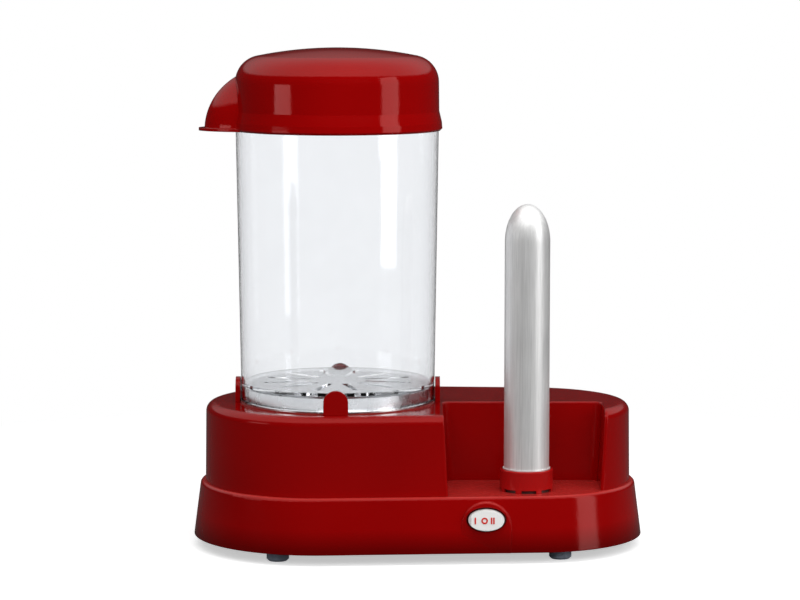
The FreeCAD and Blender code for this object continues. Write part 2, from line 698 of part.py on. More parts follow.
def bottom_cover():
    """The flat cover under the base, with holes for its screws, feet and cooling air."""
    inset = d.wall + d.skirt_drop * skirt_lean + d.cover_gap
    plan = tapered_oval("cover_plan", inset, cover_bottom)
    plate = raised("cover_plate", plan, d.cover_thick, d.skirt_draft)
    tools = []
    for n, (x, y) in enumerate(boss_places()):
        hole = d.screw_radius + d.screw_gap
        tools.append(cylinder(f"cover_hole_{n}", hole, d.cover_thick * 2, x, y, cover_bottom - 1))
    for n, (x, y) in enumerate(foot_places().values()):
        hole = d.stem_radius + d.seat_gap
        tools.append(cylinder(f"stem_hole_{n}", hole, d.cover_thick * 2, x, y, cover_bottom - 1))
    count = int(d.vent_slots.value)
    for n in range(count):
        x = pot_x + d.vent_slot_pitch * (n - (count - 1) / 2)
        half, long = d.vent_slot_wide / 2, d.vent_slot_long / 2
        tools.append(box(f"air_slot_{n}", x - half, x + half, -long, long, cover_bottom - 1, cover_top + 1))
    return cut("cover", plate, *tools)


def foot_places():
    """Where the feet are, by name: two under each round end."""
    places = {}
    ends = (
        ("left", left_centre, d.left_radius - d.foot_inset, d.foot_turn_left, -1),
        ("right", right_centre, d.right_radius - d.foot_inset, d.foot_turn_right, 1),
    )
    for side, centre, reach, angle, sign in ends:
        turn = math.radians(angle.value)
        for row, way in (("front", -1), ("rear", 1)):
            x = centre + reach * (sign * math.cos(turn))
            places[f"foot_{row}_{side}"] = (x, reach * (way * math.sin(turn)))
    return places


def foot(name, x, y):
    """A rubber foot whose barbed stem is pressed through the bottom cover."""
    base = d.foot_height
    top = base + d.cover_thick
    profile = [
        (0, 0),
        (d.foot_radius - d.foot_round, 0),
        (d.foot_radius, d.foot_round),
        (d.foot_radius, base),
        (d.stem_radius, base),
        (d.stem_radius, top),
        (d.barb_radius, top),
        (d.stem_radius * 0.7, top + d.barb_height),
        (0, top + d.barb_height),
    ]
    return revolved(name, profile, x, y)


def screw(name, x, y, z, length):
    """A pan head screw, its shank up and its head's underside at z."""
    profile = [
        (0, -d.head_thick),
        (d.screw_head * 0.75, -d.head_thick),
        (d.screw_head, -d.head_thick * 0.45),
        (d.screw_head, 0),
        (d.screw_radius, 0),
        (d.screw_radius, size(length) - d.screw_radius),
        (d.screw_radius * 0.3, length),
        (0, length),
    ]
    return revolved(name, profile, x, y, z)


def cover_screws():
    """The four screws of the bottom cover."""
    length = d.screw_length - 1
    screws = [screw(f"cover_screw_{n}", x, y, cover_bottom, length) for n, (x, y) in enumerate(boss_places())]
    return group("cover_screw_set", *screws)


def housing_screws():
    """The three screws that hold the housing to the plinth, from below."""
    length = d.screw_length - 1
    screws = [screw(f"joint_screw_{n}", x, y, floor_under, length) for n, (x, y) in enumerate(joint_places())]
    return group("joint_screw_set", *screws)


def water_dish():
    """The steel dish that the water boils in: a deep floor, a raised rim and a flange."""
    outer, inner = d.dish_radius, d.dish_radius - d.dish_wall
    rim = d.dish_depth + d.dish_rise
    under = d.dish_depth - d.dish_sheet
    profile = [
        (0, 0),
        (outer - 2, 0),
        (outer, 2),
        (outer, under),
        (d.dish_flange_radius, under),
        (d.dish_flange_radius, d.dish_depth),
        (outer, d.dish_depth),
        (outer, rim),
        (inner, rim),
        (inner, d.dish_wall + 2),
        (inner - 2, d.dish_wall),
        (0, d.dish_wall),
    ]
    return revolved("dish", profile, pot_x, 0, dish_under)


def ring(name, inner, outer, tall, x, y, z):
    """A plain ring on an upright axis."""
    return revolved(name, [(inner, 0), (outer, 0), (outer, tall), (inner, tall)], x, y, z)


def heater_ends():
    """Where the ring heater's ends point down, past the bends at the ends of its sweep."""
    turn = math.radians((360 - d.element_sweep.value) / 2)
    along, across = math.cos(turn), math.sin(turn)
    x = pot_x + d.element_radius * along + d.element_bend * across
    y = d.element_radius * across - d.element_bend * along
    return [(x, y), (x, -y)]


def tube_along(name, edges, radius):
    """A round bar swept along a path of lines and arcs, from the path's first point."""
    path = Part.Wire([edge.toShape() for edge in edges])
    first = edges[0]
    start = first.value(first.FirstParameter)
    section = Part.Circle(start, first.tangent(first.FirstParameter)[0], radius.value)
    bar = doc.addObject("Part::Feature", name)
    bar.Shape = path.makePipeShell([Part.Wire([section.toShape()])], True, False)
    return bar


def ring_heater():
    """The tubular heater under the dish: most of a ring, its two ends turned down."""
    spare = (360 - d.element_sweep.value) / 2
    radius, bend, high = d.element_radius.value, d.element_bend.value, element_z.value
    low = high - d.terminal_drop.value

    def on_ring(angle):
        x, y = round_pot(radius, angle)
        return vec(x, y, high)

    ends = []
    for side, (x, y) in zip((1, -1), heater_ends()):
        start = on_ring(spare * side)
        down = vec(x, y, high - bend)
        corner = vec(x, y, high)
        part = math.sin(math.pi / 4)
        middle = start + (corner - start) * part + (down - corner) * (1 - part)
        ends.append((vec(x, y, low), down, middle, start))
    (foot_a, down_a, middle_a, start_a), (foot_b, down_b, middle_b, start_b) = ends
    edges = [
        Part.LineSegment(foot_a, down_a),
        Part.Arc(down_a, middle_a, start_a),
        Part.Arc(start_a, on_ring(180), start_b),
        Part.Arc(start_b, middle_b, down_b),
        Part.LineSegment(down_b, foot_b),
    ]
    return tube_along("heater", edges, d.element_tube)


def terminal_holes(name, z, height):
    """The holes that the ring heater's ends pass through."""
    radius = d.element_tube + d.terminal_gap
    ends = enumerate(heater_ends())
    return [cylinder(f"{name}_{n}", radius, height, x, y, z) for n, (x, y) in ends]


def dish_bracket():
    """The spring plate that presses the ring heater to the dish, on arms to the housing."""
    pieces = [cylinder("bracket_disc", d.bracket_outer, d.bracket_thick, pot_x, 0, bracket_bottom)]
    holes = [cylinder("bracket_bore", d.bracket_inner, d.bracket_thick * 3, pot_x, 0, bracket_bottom - 1)]
    for n, angle in enumerate(bracket_angles()):
        half = d.bracket_arm / 2
        arm = box(f"bracket_arm_{n}", d.bracket_inner + 4, d.bracket_reach, -half, half, 0, d.bracket_thick)
        place(arm, *arm_corner(half, angle), bracket_bottom, Z_AXIS, angle)
        x, y = round_pot(d.bracket_reach, angle)
        pieces.append(arm)
        pieces.append(cylinder(f"bracket_ear_{n}", half, d.bracket_thick, x, y, bracket_bottom))
        hole = d.screw_radius + d.screw_gap
        holes.append(cylinder(f"bracket_hole_{n}", hole, d.bracket_thick * 3, x, y, bracket_bottom - 1))
    holes += terminal_holes("bracket_pass", bracket_bottom - 1, d.bracket_thick * 3)
    return cut("bracket", fuse("bracket_whole", *pieces), *holes)


def arm_corner(half, angle):
    """The near corner of a bracket's arm that points at an angle."""
    turn = math.radians(angle)
    start = d.bracket_inner + 4
    x = pot_x + start * math.cos(turn) + half * math.sin(turn)
    y = start * math.sin(turn) - half * math.cos(turn)
    return x, y


def bracket_screws():
    """The three screws of the dish's bracket."""
    screws = []
    for n, angle in enumerate(bracket_angles()):
        x, y = round_pot(d.bracket_reach, angle)
        screws.append(screw(f"bracket_screw_{n}", x, y, bracket_bottom, d.screw_length - 1))
    return group("bracket_screw_set", *screws)


def thermostat():
    """The disc thermostat against the dish's floor, with its two terminals."""
    bottom = dish_under - d.thermostat_tall
    cap = cylinder("thermostat_cap", d.thermostat_radius, d.thermostat_tall, pot_x, 0, bottom)
    pieces = [cap]
    for n, side in enumerate((-1, 1)):
        x = pot_x + d.thermostat_radius * 0.5 * side
        thick, wide = d.blade_thick / 2, d.blade_wide / 2
        pieces.append(
            box(f"thermostat_blade_{n}", x - thick, x + thick, -wide, wide, bottom - d.blade_long, bottom + 1)
        )
    return fuse("thermostat_whole", *pieces)


def heat_shield():
    """The shallow pan under the ring heater, its lip against the bracket's arms."""
    inner = d.shield_radius - d.shield_sheet
    profile = [
        (0, 0),
        (d.shield_radius, 0),
        (d.shield_radius, d.shield_lip),
        (inner, d.shield_lip),
        (inner, d.shield_sheet),
        (0, d.shield_sheet),
    ]
    pan = revolved("shield_pan", profile, pot_x, 0, shield_bottom)
    return cut("shield", pan, *terminal_holes("shield_pass", shield_bottom - 1, d.shield_sheet * 4))


def thermal_fuse():
    """The thermal fuse and its two wires, against the heat shield's underside."""
    x, z = pot_x - 20, shield_bottom - d.fuse_radius - d.seat_gap
    can = cylinder("fuse_can", d.fuse_radius, d.fuse_length, x, -d.fuse_length / 2, z, X_AXIS, -90)
    long = d.fuse_length * 2
    wires = cylinder("fuse_wires", d.fuse_lead, long, x, -long / 2, z, X_AXIS, -90)
    return fuse("fuse", can, wires)


def spike_nose(name, inwards):
    """The spike's nose, half an ellipsoid, made smaller all over by inwards."""
    wall = size(inwards)
    nose = doc.addObject("Part::Ellipsoid", name)
    radius = d.spike_radius - wall
    bind(nose, Radius1=d.spike_nose - wall, Radius2=radius, Radius3=radius)
    nose.Angle1 = 0
    place(nose, spike_x, d.spike_y, collar_top + d.spike_height - d.spike_nose)
    return nose


def bun_spike():
    """The aluminium tube that warms the bun from inside: closed, round nosed, flanged at its foot."""
    outer, inner = d.spike_radius, d.spike_radius - d.spike_wall
    foot_z = d.spike_flange
    shoulder = collar_top + d.spike_height - d.spike_nose - flange_under
    step_z = collar_top + d.spike_step_rise - flange_under
    profile = [(inner, 0), (d.spike_flange_radius, 0), (d.spike_flange_radius, foot_z)]
    profile += [(spike_foot, foot_z), (spike_foot, step_z), (outer, step_z)]
    profile += [(outer, shoulder), (inner, shoulder)]
    tube = revolved("spike_tube", profile, spike_x, d.spike_y, flange_under)
    cap = cut("spike_cap", spike_nose("nose_outside", 0), spike_nose("nose_inside", d.spike_wall))
    return fuse("spike", tube, cap)


def spike_collar():
    """The red collar round the spike's foot, with air notches where it stands in the bay."""
    outer, edge = d.collar_radius, d.collar_edge
    profile = [
        (spike_bore, 0),
        (outer, 0),
        (outer, d.collar_height - edge),
        (outer - edge, d.collar_height),
        (spike_bore, d.collar_height),
    ]
    sleeve = revolved("collar_sleeve", profile, spike_x, d.spike_y, d.ledge_height)
    notches = []
    count = int(d.vent_count.value)
    for n in range(count):
        angle = n * 360 / count - 87
        turn = math.radians(angle)
        half = d.vent_width / 2
        notch = box(f"collar_notch_{n}", 0, outer + 1, -half, half, 0, d.vent_height + 1)
        x = spike_x + half * math.sin(turn)
        y = d.spike_y - half * math.cos(turn)
        place(notch, x, y, d.ledge_height - 1, Z_AXIS, angle)
        notches.append(notch)
    return cut("collar", sleeve, *notches)


def spike_heater():
    """The cartridge heater inside the spike, on its foot."""
    profile = [
        (0, 0),
        (d.heater_base_radius, 0),
        (d.heater_base_radius, d.heater_base),
        (d.heater_radius, d.heater_base),
        (d.heater_radius, d.heater_length - 1),
        (d.heater_radius - 1, d.heater_length),
        (0, d.heater_length),
    ]
    return revolved("cartridge", profile, spike_x, d.spike_y, flange_under)


def spike_retainer():
    """The steel plate under the spike's flange, with two ears for its screws behind the spike."""
    thick = d.retainer_thick
    pieces = [cylinder("retainer_disc", d.retainer_radius, thick, spike_x, d.spike_y, retainer_bottom)]
    below, through = retainer_bottom - 1, thick * 3
    holes = [cylinder("retainer_bore", d.retainer_hole, through, spike_x, d.spike_y, below)]
    left, right = ear_places()
    front, back = ear_y - d.ear_radius, ear_y + d.ear_radius
    pieces.append(box("retainer_bar", left, right, front, back, retainer_bottom, flange_under))
    for n, x in enumerate((left, right)):
        pieces.append(cylinder(f"retainer_ear_{n}", d.ear_radius, thick, x, ear_y, retainer_bottom))
        hole = d.screw_radius + d.screw_gap
        holes.append(cylinder(f"retainer_hole_{n}", hole, through, x, ear_y, below))
    return cut("retainer", fuse("retainer_whole", *pieces), *holes)


def retainer_screws():
    """The two screws of the spike's retainer."""
    length = d.retainer_thick + d.ear_depth - 0.5
    screws = [
        screw(f"retainer_screw_{n}", x, ear_y, retainer_bottom, length)
        for n, x in enumerate(ear_places())
    ]
    return group("retainer_screw_set", *screws)


def centred_box(name, wide, y0, y1, tall):
    """A box centred on the switch's middle, seen from the front."""
    half_wide, half_tall = size(wide) / 2, size(tall) / 2
    left, right = arch_x - half_wide, arch_x + half_wide
    return box(name, left, right, y0, y1, d.rocker_z - half_tall, d.rocker_z + half_tall)


def switch_block(name, grow):
    """The switch's case or, made larger by grow, its room: a block whose top follows the arch's inside."""
    back = panel_inner + d.switch_depth
    wide, tall = d.switch_width + size(grow) * 2, d.switch_tall + size(grow) * 2
    block = centred_box(name + "_block", wide, panel_inner, back, tall)
    arch = arch_solid(name + "_arch", arch_x, size(grow) - d.arch_wall, skirt_bottom, panel_inner, back)
    return common(name, block, arch)


def pin_bar(name, radius, length):
    """An upright bar on the rocker's pivot."""
    return cylinder(name, radius, length, arch_x, pivot_y, d.rocker_z - size(length) / 2)


def switch_body():
    """The rotary contacts' case behind the panel: room for the rocker to swing on its pin."""
    case = switch_block("switch_case", 0)
    clear = d.rocker_width + d.rocker_gap * 2 + 0.8
    swing = centred_box("swing_room", clear, panel_inner - 1, panel_inner + d.swing_room, d.switch_tall + 2)
    web = centred_box("web", d.web_wide, panel_inner + d.web_back, panel_inner + d.swing_room, d.switch_tall)
    stem_wide = d.rocker_stem_wide + d.stem_swing * 2
    stem_tall = d.rocker_stem_tall + d.stem_room * 2
    stem_back = pivot_y + d.rocker_tail + d.stem_swing
    stem = centred_box("stem_room", stem_wide, panel_inner - 1, stem_back, stem_tall)
    hole = pin_bar("switch_pin_hole", d.pin_radius + d.seat_gap, d.switch_tall + 2)
    hollow = cut("switch_hollow", case, swing)
    return cut("switch", fuse("switch_webbed", hollow, web), stem, hole)


def switch_rocker():
    """The oval three-way rocker: a cap in the panel's opening on a stem that turns on the pin."""
    wide, tall = d.rocker_width / 2, d.rocker_tall / 2
    front, back = panel_front - d.rocker_proud, panel_inner - 0.2
    bar = oval_bar("rocker_oval", wide, tall, arch_x, d.rocker_z, front, back)
    sweep = pin_bar("rocker_sweep_bar", d.rocker_sweep, d.rocker_tall * 2)
    cap = common("rocker_cap", bar, sweep)
    tail = pivot_y + d.rocker_tail
    stem = centred_box("rocker_stem", d.rocker_stem_wide, back - 1, tail, d.rocker_stem_tall)
    hole = pin_bar("rocker_bore", d.pin_radius + d.pin_gap, d.rocker_tall * 2)
    return cut("rocker", fuse("rocker_whole", cap, stem), hole)


def rocker_marks():
    """The raised marks of the three positions: one bar, a ring and two bars."""
    face = panel_front - d.rocker_proud
    front = face - d.mark_proud
    half, stroke = d.mark_tall / 2, d.mark_stroke / 2
    low, high = d.rocker_z - half, d.rocker_z + half
    marks = []
    pair = d.mark_stroke * 0.8
    middles = {
        "mark_one": arch_x - d.mark_one,
        "mark_two_left": arch_x + d.mark_two - pair,
        "mark_two_right": arch_x + d.mark_two + pair,
    }
    for name, x in middles.items():
        marks.append(box(name, x - stroke, x + stroke, front, face, low, high))
    x, bore = arch_x - d.mark_off, half - d.mark_stroke
    outer = oval_bar("mark_off_outer", half, half, x, d.rocker_z, front, face)
    inner = oval_bar("mark_off_inner", bore, bore, x, d.rocker_z, front - 1, face + 1)
    marks.append(cut("mark_off", outer, inner))
    return group("mark_set", *marks)


def switch_terminals():
    """The three blades at the switch's back."""
    back = panel_inner + d.switch_depth
    half_wide, half_thick = d.blade_wide / 2, d.blade_thick / 2
    low, high = d.rocker_z - half_wide, d.rocker_z + half_wide
    blades = []
    for n in (-1, 0, 1):
        x = arch_x + d.blade_pitch * n
        left, right = x - half_thick, x + half_thick
        blades.append(box(f"blade_{n + 1}", left, right, back, back + d.blade_long, low, high))
    return group("blade_set", *blades)


def cord_gland():
    """The grommet in the back panel that the mains lead passes through."""
    face = d.wall / 2
    collar = face + d.gland_collar_thick
    bore, neck, rim = d.cord_radius, d.gland_radius, d.gland_collar
    lip = collar + d.gland_lip
    profile = [
        (bore, -collar),
        (rim, -collar),
        (rim, -face),
        (neck, -face),
        (neck, face),
        (rim, face),
        (rim, collar),
        (neck, lip),
        (bore, lip),
    ]
    gland = revolved("gland", profile, gland_x, panel_y - face, d.gland_z)
    gland.Placement.Rotation = FreeCAD.Rotation(X_AXIS, -90)
    return gland


def terminal_block():
    """The screw terminals on the bottom cover where the mains lead ends."""
    x0, x1 = block_x - d.block_width / 2, block_x + d.block_width / 2
    y0, y1 = d.block_y - d.block_deep / 2, d.block_y + d.block_deep / 2
    block = box("block", x0, x1, y0, y1, cover_top, cover_top + d.block_tall)
    bores = []
    for n in (-1, 0, 1):
        x = block_x + d.block_pitch * n
        z = cover_top + d.block_tall * 0.4
        deep = d.block_deep + 2
        bores.append(cylinder(f"wire_bore_{n + 1}", d.block_bore, deep, x, y0 - 1, z, X_AXIS, -90))
        bores.append(cylinder(f"screw_bore_{n + 1}", d.block_bore * 0.7, d.block_tall, x, d.block_y, z))
    return cut("block_drilled", block, *bores)


def wire(name, points):
    """An insulated lead: straight runs through points, joined by the largest arcs that fit."""
    corners = [vec(*point) for point in points]
    edges = []
    start = corners[0]
    for before, corner, after in zip(corners, corners[1:], corners[2:]):
        back, ahead = before - corner, after - corner
        half = (math.pi - back.getAngle(ahead)) / 2
        cut_back = 0.45 * min(back.Length, ahead.Length)
        first = corner + back * (cut_back / back.Length)
        last = corner + ahead * (cut_back / ahead.Length)
        inward = (back * (1 / back.Length) + ahead * (1 / ahead.Length)).normalize()
        radius = cut_back / math.tan(half)
        middle = corner + inward * (radius / math.cos(half) - radius)
        edges.append(Part.LineSegment(start, first))
        edges.append(Part.Arc(first, middle, last))
        start = last
    edges.append(Part.LineSegment(start, corners[-1]))
    return tube_along(name, edges, d.lead_radius)


def inner_leads():
    """The leads of the base's wiring, by name, from terminal to terminal."""
    end_x, end_y = heater_ends()[0]
    end_z = element_z - d.terminal_drop
    blade_y = panel_inner + d.switch_depth + d.blade_long
    block_front = d.block_y - d.block_deep / 2
    block_z = cover_top + d.block_tall * 0.4
    low = cover_top + 8
    spike_z = retainer_bottom - 1
    return {
        "heater_lead_live": [
            (end_x, -end_y, end_z),
            (end_x, -end_y, end_z - 14),
            (end_x + 14, -end_y - 4, low + 8),
            (arch_x - d.blade_pitch, blade_y + 16, d.rocker_z),
            (arch_x - d.blade_pitch, blade_y, d.rocker_z),
        ],
        "heater_lead_neutral": [
            (end_x, end_y, end_z),
            (end_x, end_y, end_z - 14),
            (end_x + 14, end_y, low + 4),
            (block_x - d.block_pitch, block_front - 12, block_z),
            (block_x - d.block_pitch, block_front, block_z),
        ],
        "spike_lead_live": [
            (spike_x - 1.6, d.spike_y, spike_z),
            (spike_x - 1.6, d.spike_y, spike_z - 9),
            (spike_x - 5, d.spike_y + 9, low),
            (arch_x + d.blade_pitch, blade_y + 12, d.rocker_z),
            (arch_x + d.blade_pitch, blade_y, d.rocker_z),
        ],
        "spike_lead_neutral": [
            (spike_x + 1.6, d.spike_y, spike_z),
            (spike_x + 1.6, d.spike_y, spike_z - 9),
            (spike_x + 4, d.spike_y + 14, low),
            (block_x + d.block_pitch, block_front - 16, block_z),
            (block_x + d.block_pitch, block_front, block_z),
        ],
        "switch_lead": [
            (arch_x, blade_y, d.rocker_z),
            (arch_x, blade_y + 14, d.rocker_z),
            (block_x, block_front - 18, block_z),
            (block_x, block_front, block_z),
        ],
    }


def container():
    """The clear container: a tall drum whose slotted floor stands clear of the water."""
    lean = (d.pot_top_radius - d.pot_bottom_radius) / d.pot_height
    floor, floor_top = d.pot_floor_rise, d.pot_floor_rise + d.pot_floor
    edge = 0.7
    inner_foot = d.pot_bottom_radius - d.pot_wall
    profile = [
        (inner_foot, 0),
        (d.pot_bottom_radius - edge, 0),
        (d.pot_bottom_radius, edge),
        (d.pot_top_radius, d.pot_height - edge),
        (d.pot_top_radius - edge, d.pot_height),
        (d.pot_top_radius - d.pot_wall, d.pot_height),
        (inner_foot + lean * floor_top, floor_top),
        (0, floor_top),
        (0, floor),
        (inner_foot + lean * floor, floor),
    ]
    drum = revolved("drum", profile, pot_x, 0, pot_foot)
    slots = []
    count = int(d.slot_count.value)
    for n in range(count):
        angle = (n + 0.5) * 360 / count
        turn = math.radians(angle)
        half = d.slot_width / 2
        slot = box(f"steam_slot_{n}", 0, d.slot_outer - d.slot_inner, -half, half, 0, d.pot_floor * 3)
        x = pot_x + d.slot_inner * math.cos(turn) + half * math.sin(turn)
        y = d.slot_inner * math.sin(turn) - half * math.cos(turn)
        place(slot, x, y, pot_foot + floor - 1, Z_AXIS, angle)
        slots.append(slot)
    return cut("drum_slotted", drum, *slots)


def lid_dome(name, inwards):
    """The lid's domed drum, made smaller all over by inwards."""
    wall = size(inwards)
    side = doc.addObject("Part::Cone", name + "_side")
    foot, shoulder = d.lid_side_radius - wall, d.lid_shoulder_radius - wall
    bind(side, Radius1=foot, Radius2=shoulder, Height=d.lid_height)
    place(side, pot_x, 0, lid_foot)
    crown = doc.addObject("Part::Sphere", name + "_crown")
    bind(crown, Radius=d.lid_dome_radius - wall)
    place(crown, pot_x, 0, lid_foot + d.lid_height - d.lid_dome_radius)
    dome = common(name + "_sharp", side, crown)
    half = lid_foot.value + d.lid_height.value / 2

    def corner(edge):
        low, high = edge_z(edge)
        return low > half and high - low < 0.1

    return rounded(name, dome, d.lid_round - wall, corner)


def beak_bulge(name, inwards):
    """The steam beak: the upper half of an ellipsoid out of the lid's left side."""
    wall = size(inwards)
    bulge = doc.addObject("Part::Ellipsoid", name)
    long, wide, tall = d.beak_long - wall, d.beak_wide - wall, d.beak_tall - wall
    bind(bulge, Radius1=tall, Radius2=long, Radius3=wide)
    bulge.Angle1 = 0
    place(bulge, pot_x - d.beak_centre, 0, lid_foot)
    return bulge


def lid_band():
    """The band round the lid's foot, which runs out into the side above it."""
    outer, inner, edge = d.band_radius, d.lid_shoulder_radius - d.lid_wall, d.band_round
    fade = d.band_height + d.band_fade
    profile = [(inner, 0), (outer - edge, 0), (outer, edge), (outer - edge / 4, d.band_height)]
    profile += [(d.lid_shoulder_radius, fade), (inner, fade)]
    return revolved("lid_band", profile, pot_x, 0, lid_foot)


def lid():
    """The red lid: a domed cap over the container's rim, with a steam beak open underneath."""
    lip = doc.addObject("Part::Ellipse", "beak_lip_plan")
    long, wide = d.beak_long + d.beak_lip, d.beak_wide + d.beak_lip
    bind(lip, MajorRadius=long, MinorRadius=wide)
    place(lip, pot_x - d.beak_centre, 0, lid_foot)
    lip = raised("beak_lip_disc", lip, d.beak_lip_thick)
    outside = lid_dome("lid_outside", 0)
    outer = fuse("lid_outer", outside, beak_bulge("beak_outside", 0), lip, lid_band())
    seat = d.pot_top_radius + d.lid_gap
    recess = cylinder("lid_recess", seat, d.lid_overlap, pot_x, 0, lid_foot)
    inside = lid_dome("lid_inside", d.lid_wall)
    hollow = fuse("lid_space", inside, beak_bulge("beak_inside", d.beak_wall), recess)
    return cut("lid_shell", outer, hollow)


nodes = {
    "base_plinth": base_plinth(),
    "base_housing": base_housing(),
    "housing_screws": housing_screws(),
    "container_tabs": container_tabs(),
    "bottom_cover": bottom_cover(),
    "cover_screws": cover_screws(),
    "water_dish": water_dish(),
    "dish_gasket": ring(
        "gasket", hole_radius, d.dish_flange_radius, d.gasket_height, pot_x, 0, gasket_bottom
    ),
    "ring_heater": ring_heater(),
    "dish_bracket": dish_bracket(),
    "bracket_screws": bracket_screws(),
    "dish_thermostat": thermostat(),
    "heat_shield": heat_shield(),
    "thermal_fuse": thermal_fuse(),
    "bun_spike": bun_spike(),
    "spike_collar": spike_collar(),
    "spike_seal": ring(
        "seal", spike_bore, d.spike_flange_radius, d.seal_thick, spike_x, d.spike_y, seal_bottom
    ),
    "spike_heater": spike_heater(),
    "spike_retainer": spike_retainer(),
    "retainer_screws": retainer_screws(),
    "switch_body": switch_body(),
    "switch_pin": pin_bar("pin", d.pin_radius, d.pin_length),
    "switch_rocker": switch_rocker(),
    "rocker_marks": rocker_marks(),
    "switch_terminals": switch_terminals(),
    "cord_gland": cord_gland(),
    "terminal_block": terminal_block(),
    "container": container(),
    "lid": lid(),
}
for name, (x, y) in foot_places().items():
    nodes[name] = foot(name + "_body", x, y)
for name, points in inner_leads().items():
    nodes[name] = wire(name + "_tube", points)

doc.recompute()
for item in doc.Objects:
    if "Invalid" in item.State or "Error" in item.State:
        raise RuntimeError(f"{item.Name} failed: {item.State}")
for name, item in nodes.items():
    item.Label = name
    if item.Shape.isNull() or not item.Shape.isValid():
        raise RuntimeError(f"{name} has no valid shape")
for name, item in nodes.items():
    item.Shape.exportStep(f"parts/{name}.step")
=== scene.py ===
"""The looks of the hot dog toaster: its materials, the studio and the photograph's camera."""

import math

import bpy
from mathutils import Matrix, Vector


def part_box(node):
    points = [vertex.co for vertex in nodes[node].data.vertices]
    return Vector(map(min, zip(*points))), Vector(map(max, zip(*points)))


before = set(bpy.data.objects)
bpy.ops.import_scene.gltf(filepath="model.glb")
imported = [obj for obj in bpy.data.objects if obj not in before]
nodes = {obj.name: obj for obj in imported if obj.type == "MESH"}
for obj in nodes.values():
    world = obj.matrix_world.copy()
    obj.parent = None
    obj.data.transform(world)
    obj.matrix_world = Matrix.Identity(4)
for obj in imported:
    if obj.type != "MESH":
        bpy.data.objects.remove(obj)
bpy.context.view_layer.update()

# The photograph's camera: straight in front of the object, a little above the lid
CAMERA_AIM = Vector((-0.0106, 0.0, 0.1476))
CAMERA_DISTANCE = 1.685
CAMERA_ELEVATION = math.radians(6.5)
SENSOR = 36.0
LENS = 126.27

# Gloss mirrors a white cap of the world, leaning back from straight up: the directions whose dot product with
# its middle is over its edge. It gets brighter from the horizon behind to the camera's side, by a power.
SHEEN_MIDDLE = (0.0, 0.208, 0.978)
SHEEN_EDGE = 0.42
SHEEN_BLUR = 0.03
SHEEN_DARK = 0.03
SHEEN_LIGHT = 1.5
SHEEN_POWER = 0.78
FILL = 0.42

# The floor: its grey to the eye and as it lights the object, its glow to the eye, and the distances from the
# middle between which it fades to white
FLOOR_HALF = 4.0
FLOOR_WHITE = 0.9
FLOOR_BOUNCE = 0.1
FLOOR_LIFT = 0.5
FADE_START = 0.22
FADE_END = 0.55

# How far light sees the red mouldings' edges as rounded
EDGE_RADIUS = 0.0007

# Heights: the painted shade low on the skirt, from its foot up, and the painted shade on the spike's foot
# inside the collar
SKIRT_PAINTED_SHADE_FOOT = 0.009
SKIRT_PAINTED_SHADE_TOP = 0.021
SPIKE_PAINTED_SHADE_TOP = 0.0525
SPIKE_PAINTED_SHADE_EDGE = 0.001

# Linear colours
RED_HOUSING = (0.27, 0.0008, 0.001)
# The next colour is painted shade: the skirt's colour darkens towards its foot
RED_SKIRT_PAINTED_SHADE = (0.0675, 0.0002, 0.00025)
RED_LID = (0.29, 0.0008, 0.001)
RED_COLLAR = (0.34, 0.006, 0.006)
# The next colour is partly dust and partly painted light on the plinth's upward faces
RED_DUST_AND_PAINTED_LIGHT = (0.5, 0.03, 0.026)
# The next colour is painted shade: the switch case is coloured like the shaded red seen in the gap round the
# rocker
RED_GAP_PAINTED_SHADE = (0.13, 0.001, 0.001)
RED_TINT = (1.0, 0.34, 0.32)
RED_MARK = (0.62, 0.018, 0.01)
WHITE_PLASTIC = (0.88, 0.88, 0.865)
WHITE_TINT = (1.0, 1.0, 1.0)
CLEAR = (0.93, 0.94, 0.955)
CLEAR_EDGE = (0.7, 0.7, 0.725)
BLACK_PLASTIC = (0.018, 0.018, 0.02)
FOOT_RUBBER = (0.2, 0.225, 0.28)
GLAND_RUBBER = (0.014, 0.014, 0.015)
SILICONE = (0.15, 0.012, 0.01)
ALUMINIUM = (0.92, 0.92, 0.915)
# The next colour is painted shade on the spike's foot inside the collar
SPIKE_PAINTED_SHADE = (0.09, 0.045, 0.04)
STEEL = (0.72, 0.73, 0.74)
GALVANISED = (0.48, 0.49, 0.5)
HEATER_STEEL = (0.24, 0.23, 0.22)
CERAMIC = (0.6, 0.55, 0.46)
BRASS = (0.66, 0.45, 0.17)
BROWN_LEAD = (0.09, 0.03, 0.014)
BLUE_LEAD = (0.02, 0.06, 0.24)

# How much a texture is drawn out along its lines: upright ones, ones along the object's depth, or none
UPRIGHT = (1.0, 1.0, 0.03)
DEEP = (1.0, 0.03, 1.0)
EVEN = (1.0, 1.0, 1.0)


def add_node(tree, kind, *inputs, **named):
    """A new node with its inputs, values or other nodes' outputs, in order or by name, and its settings."""
    node = tree.nodes.new("ShaderNode" + kind)
    given = list(zip(node.inputs, inputs))
    for name, value in named.items():
        socket = node.inputs.get(name.replace("_", " "))
        if socket is None:
            setattr(node, name, value)
        else:
            given.append((socket, value))
    for socket, value in given:
        if isinstance(value, bpy.types.NodeSocket):
            tree.links.new(value, socket)
        else:
            socket.default_value = value
    return node


def calculate(tree, operation, first, second):
    """The result of a sum on two numbers or outputs."""
    return add_node(tree, "Math", first, second, operation=operation).outputs["Value"]


def seen_by_eye(tree):
    """1 for a ray from the camera or through glass, and 0 for any other."""
    path = add_node(tree, "LightPath").outputs
    return calculate(tree, "MAXIMUM", path["Is Camera Ray"], path["Is Transmission Ray"])


def tinted(colour, factor):
    """A colour made lighter or darker by a factor."""
    return tuple(min(1.0, part * factor) for part in colour)


